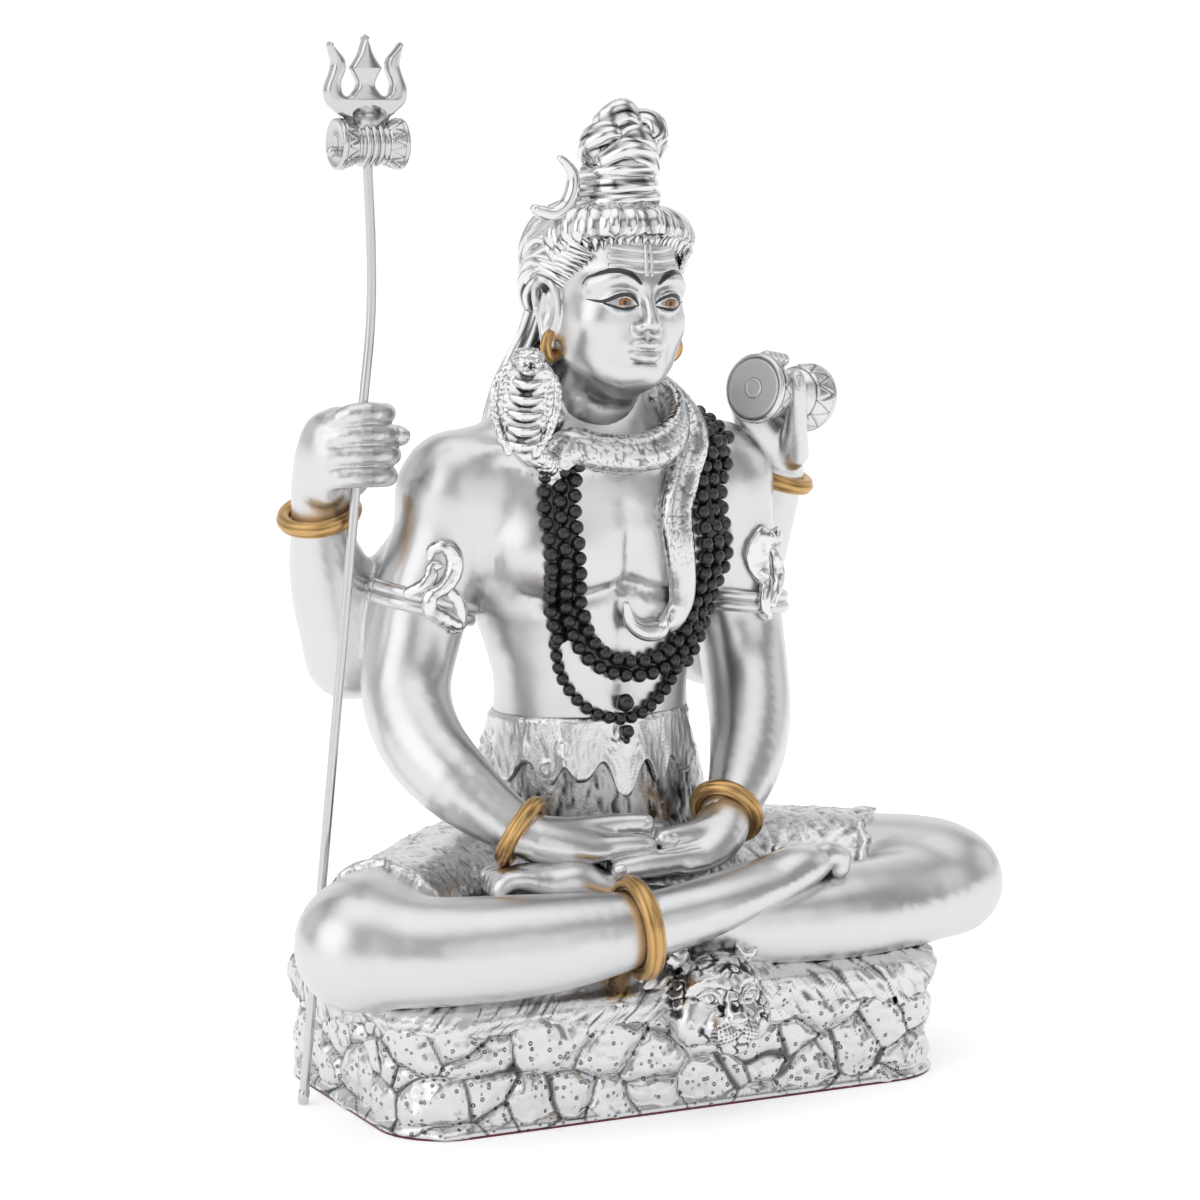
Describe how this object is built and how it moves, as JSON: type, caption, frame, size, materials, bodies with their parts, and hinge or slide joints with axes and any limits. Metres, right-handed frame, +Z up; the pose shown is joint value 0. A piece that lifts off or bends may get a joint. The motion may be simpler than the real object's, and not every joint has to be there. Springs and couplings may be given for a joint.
{
  "type": "seated deity statue",
  "caption": "Seated four-armed deity statue on a rock draped with a tiger skin, with a loose trident through one raised hand.",
  "frame": {"origin": "middle of the flat underside of the base pad, on the surface the statue stands on", "axes": "+Z up, the figure faces -Y, its right hand with the trident is at -X"},
  "size_m": [0.2098, 0.1156, 0.2813],
  "materials": {
    "silver": "silver plating, satin on the skin and bright on the carved parts, dark in the hollows",
    "polished_silver": "bright polished",
    "gold_lacquer": "brushed gold lacquer on the bangles, the anklet and the earrings",
    "black_lacquer": "black lacquer on the beads, with painted brows and eyes",
    "felt": "dark red felt"
  },
  "bodies": {
    "root": {"figure": "silver", "trident": "polished_silver", "base_pad": "felt"}
  },
  "joints": []
}
